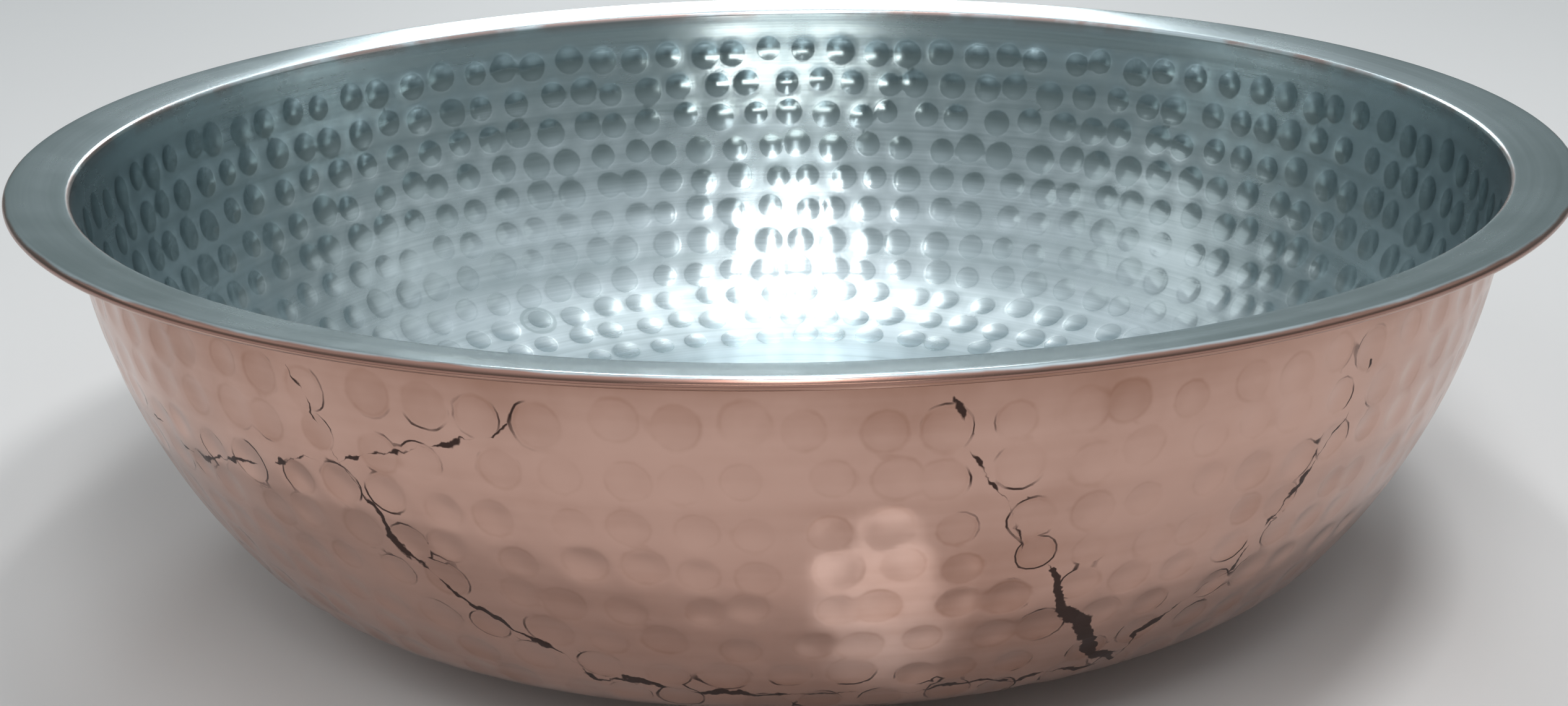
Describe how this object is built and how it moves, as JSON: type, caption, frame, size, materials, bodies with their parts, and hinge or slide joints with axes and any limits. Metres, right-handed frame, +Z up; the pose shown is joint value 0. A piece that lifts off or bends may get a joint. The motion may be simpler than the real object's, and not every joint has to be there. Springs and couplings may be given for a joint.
{
  "type": "hammered copper bowl",
  "caption": "Wide round copper bowl with hammered walls, a turned-out flat rim with a rolled edge, and a tinned inside; it stands on a flat base and holds food or water.",
  "frame": {"origin": "on the table, under the middle of the bowl's flat base", "axes": "+Z up through the middle of the bowl; the bowl is the same all round, so +X and +Y are any two level directions"},
  "size_m": [0.4, 0.4, 0.111],
  "materials": {
    "copper": "bare polished copper with soft round hammer marks in level rows, a little tarnished in thin dark veins",
    "tin": "wiped tin, satin, with crisp round hammer marks in level rows and fine turning lines",
    "iron_wire": "dull drawn iron wire"
  },
  "bodies": {
    "root": {"copper_body": "copper", "tin_lining": "tin", "rim_wire": "iron_wire"}
  },
  "joints": []
}
